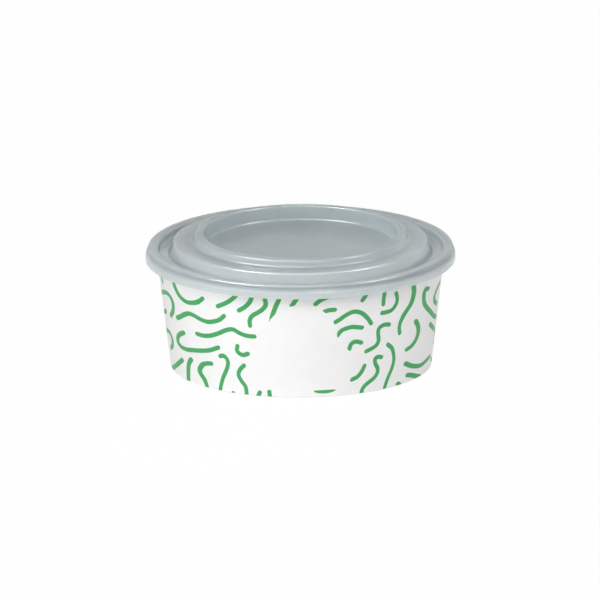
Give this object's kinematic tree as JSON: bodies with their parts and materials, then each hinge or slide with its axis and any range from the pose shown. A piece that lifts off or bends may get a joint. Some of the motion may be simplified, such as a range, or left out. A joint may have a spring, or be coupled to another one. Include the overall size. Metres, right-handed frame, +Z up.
{
  "type": "salad bowl",
  "caption": "Round tapered paperboard salad bowl with a rolled rim, a folded foot and printed wavy strokes, closed by a stepped translucent plastic lid that snaps on and lifts off.",
  "frame": {"origin": "centre of the foot circle, on the surface that the bowl stands on", "axes": "+Z up along the bowl's axis, -Y towards the front of the print, +Y towards the glued side seam"},
  "size_m": [0.1536, 0.1536, 0.068],
  "materials": {
    "printed_board": "white coated paperboard with green wavy strokes, satin outside",
    "plain_board": "white coated paperboard, satin on the food side",
    "lid_plastic": "translucent hazy grey polypropylene, glossy"
  },
  "bodies": {
    "bowl": {"sidewall": "printed_board", "base_disc": "plain_board"},
    "lid": {"lid": "lid_plastic"}
  },
  "joints": [
    {"name": "lid_lift", "type": "slide", "parent": "bowl", "child": "lid", "axis": [0, 0, 1], "range_m": [0, 0.1]}
  ]
}
